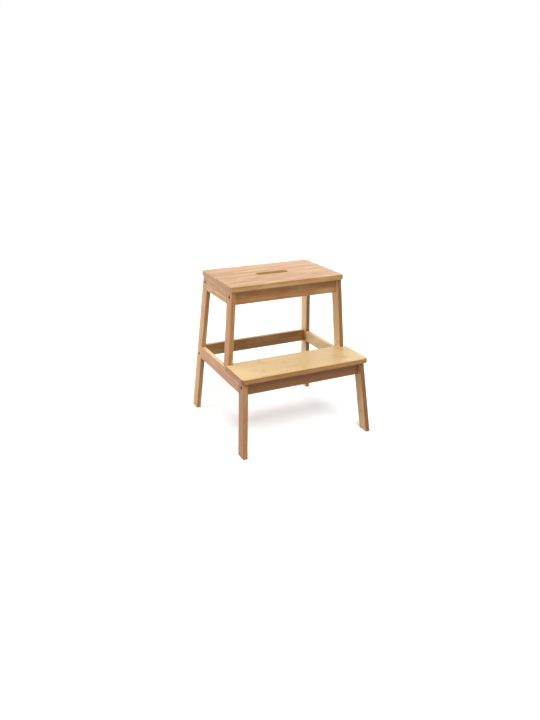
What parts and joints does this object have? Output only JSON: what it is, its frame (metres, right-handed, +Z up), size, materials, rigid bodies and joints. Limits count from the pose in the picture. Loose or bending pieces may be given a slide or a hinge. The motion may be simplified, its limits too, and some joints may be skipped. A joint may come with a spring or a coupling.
{
  "type": "step stool",
  "caption": "Free-standing two-step wooden stool with splayed side frames, an upper board with a hand slot and a wider lower step, held by bolted cross rails.",
  "frame": {"origin": "middle of the footprint, on the floor", "axes": "+X right seen from the front, -Y front (the lower step's side), +Z up"},
  "size_m": [0.43, 0.43, 0.47],
  "materials": {
    "bamboo": "laminated bamboo, clear satin lacquer",
    "dowel_wood": "plain turned beech",
    "steel": "dark zinc plating"
  },
  "bodies": {
    "root": {"top_board": "bamboo", "lower_board": "bamboo", "left_rear_leg": "bamboo", "right_rear_leg": "bamboo", "left_middle_leg": "bamboo", "right_middle_leg": "bamboo", "left_front_leg": "bamboo", "right_front_leg": "bamboo", "left_upper_side_rail": "bamboo", "right_upper_side_rail": "bamboo", "left_lower_side_rail": "bamboo", "right_lower_side_rail": "bamboo", "upper_front_rail": "bamboo", "upper_rear_rail": "bamboo", "lower_front_rail": "bamboo", "lower_rear_rail": "bamboo", "left_upper_front_bolt": "steel", "right_upper_front_bolt": "steel", "left_upper_rear_bolt": "steel", "right_upper_rear_bolt": "steel", "left_lower_front_bolt": "steel", "right_lower_front_bolt": "steel", "left_lower_rear_bolt": "steel", "right_lower_rear_bolt": "steel", "left_upper_front_nut": "steel", "right_upper_front_nut": "steel", "left_upper_rear_nut": "steel", "right_upper_rear_nut": "steel", "left_lower_front_nut": "steel", "right_lower_front_nut": "steel", "left_lower_rear_nut": "steel", "right_lower_rear_nut": "steel", "left_upper_front_dowel": "dowel_wood", "right_upper_front_dowel": "dowel_wood", "left_upper_rear_dowel": "dowel_wood", "right_upper_rear_dowel": "dowel_wood", "left_lower_front_dowel": "dowel_wood", "right_lower_front_dowel": "dowel_wood", "left_lower_rear_dowel": "dowel_wood", "right_lower_rear_dowel": "dowel_wood", "left_upper_side_dowels": "dowel_wood", "right_upper_side_dowels": "dowel_wood", "left_lower_side_dowels": "dowel_wood", "right_lower_side_dowels": "dowel_wood", "left_middle_leg_dowels": "dowel_wood", "right_middle_leg_dowels": "dowel_wood", "upper_front_screws": "steel", "upper_rear_screws": "steel", "lower_front_screws": "steel", "left_lower_side_screw": "steel", "right_lower_side_screw": "steel"}
  },
  "joints": []
}
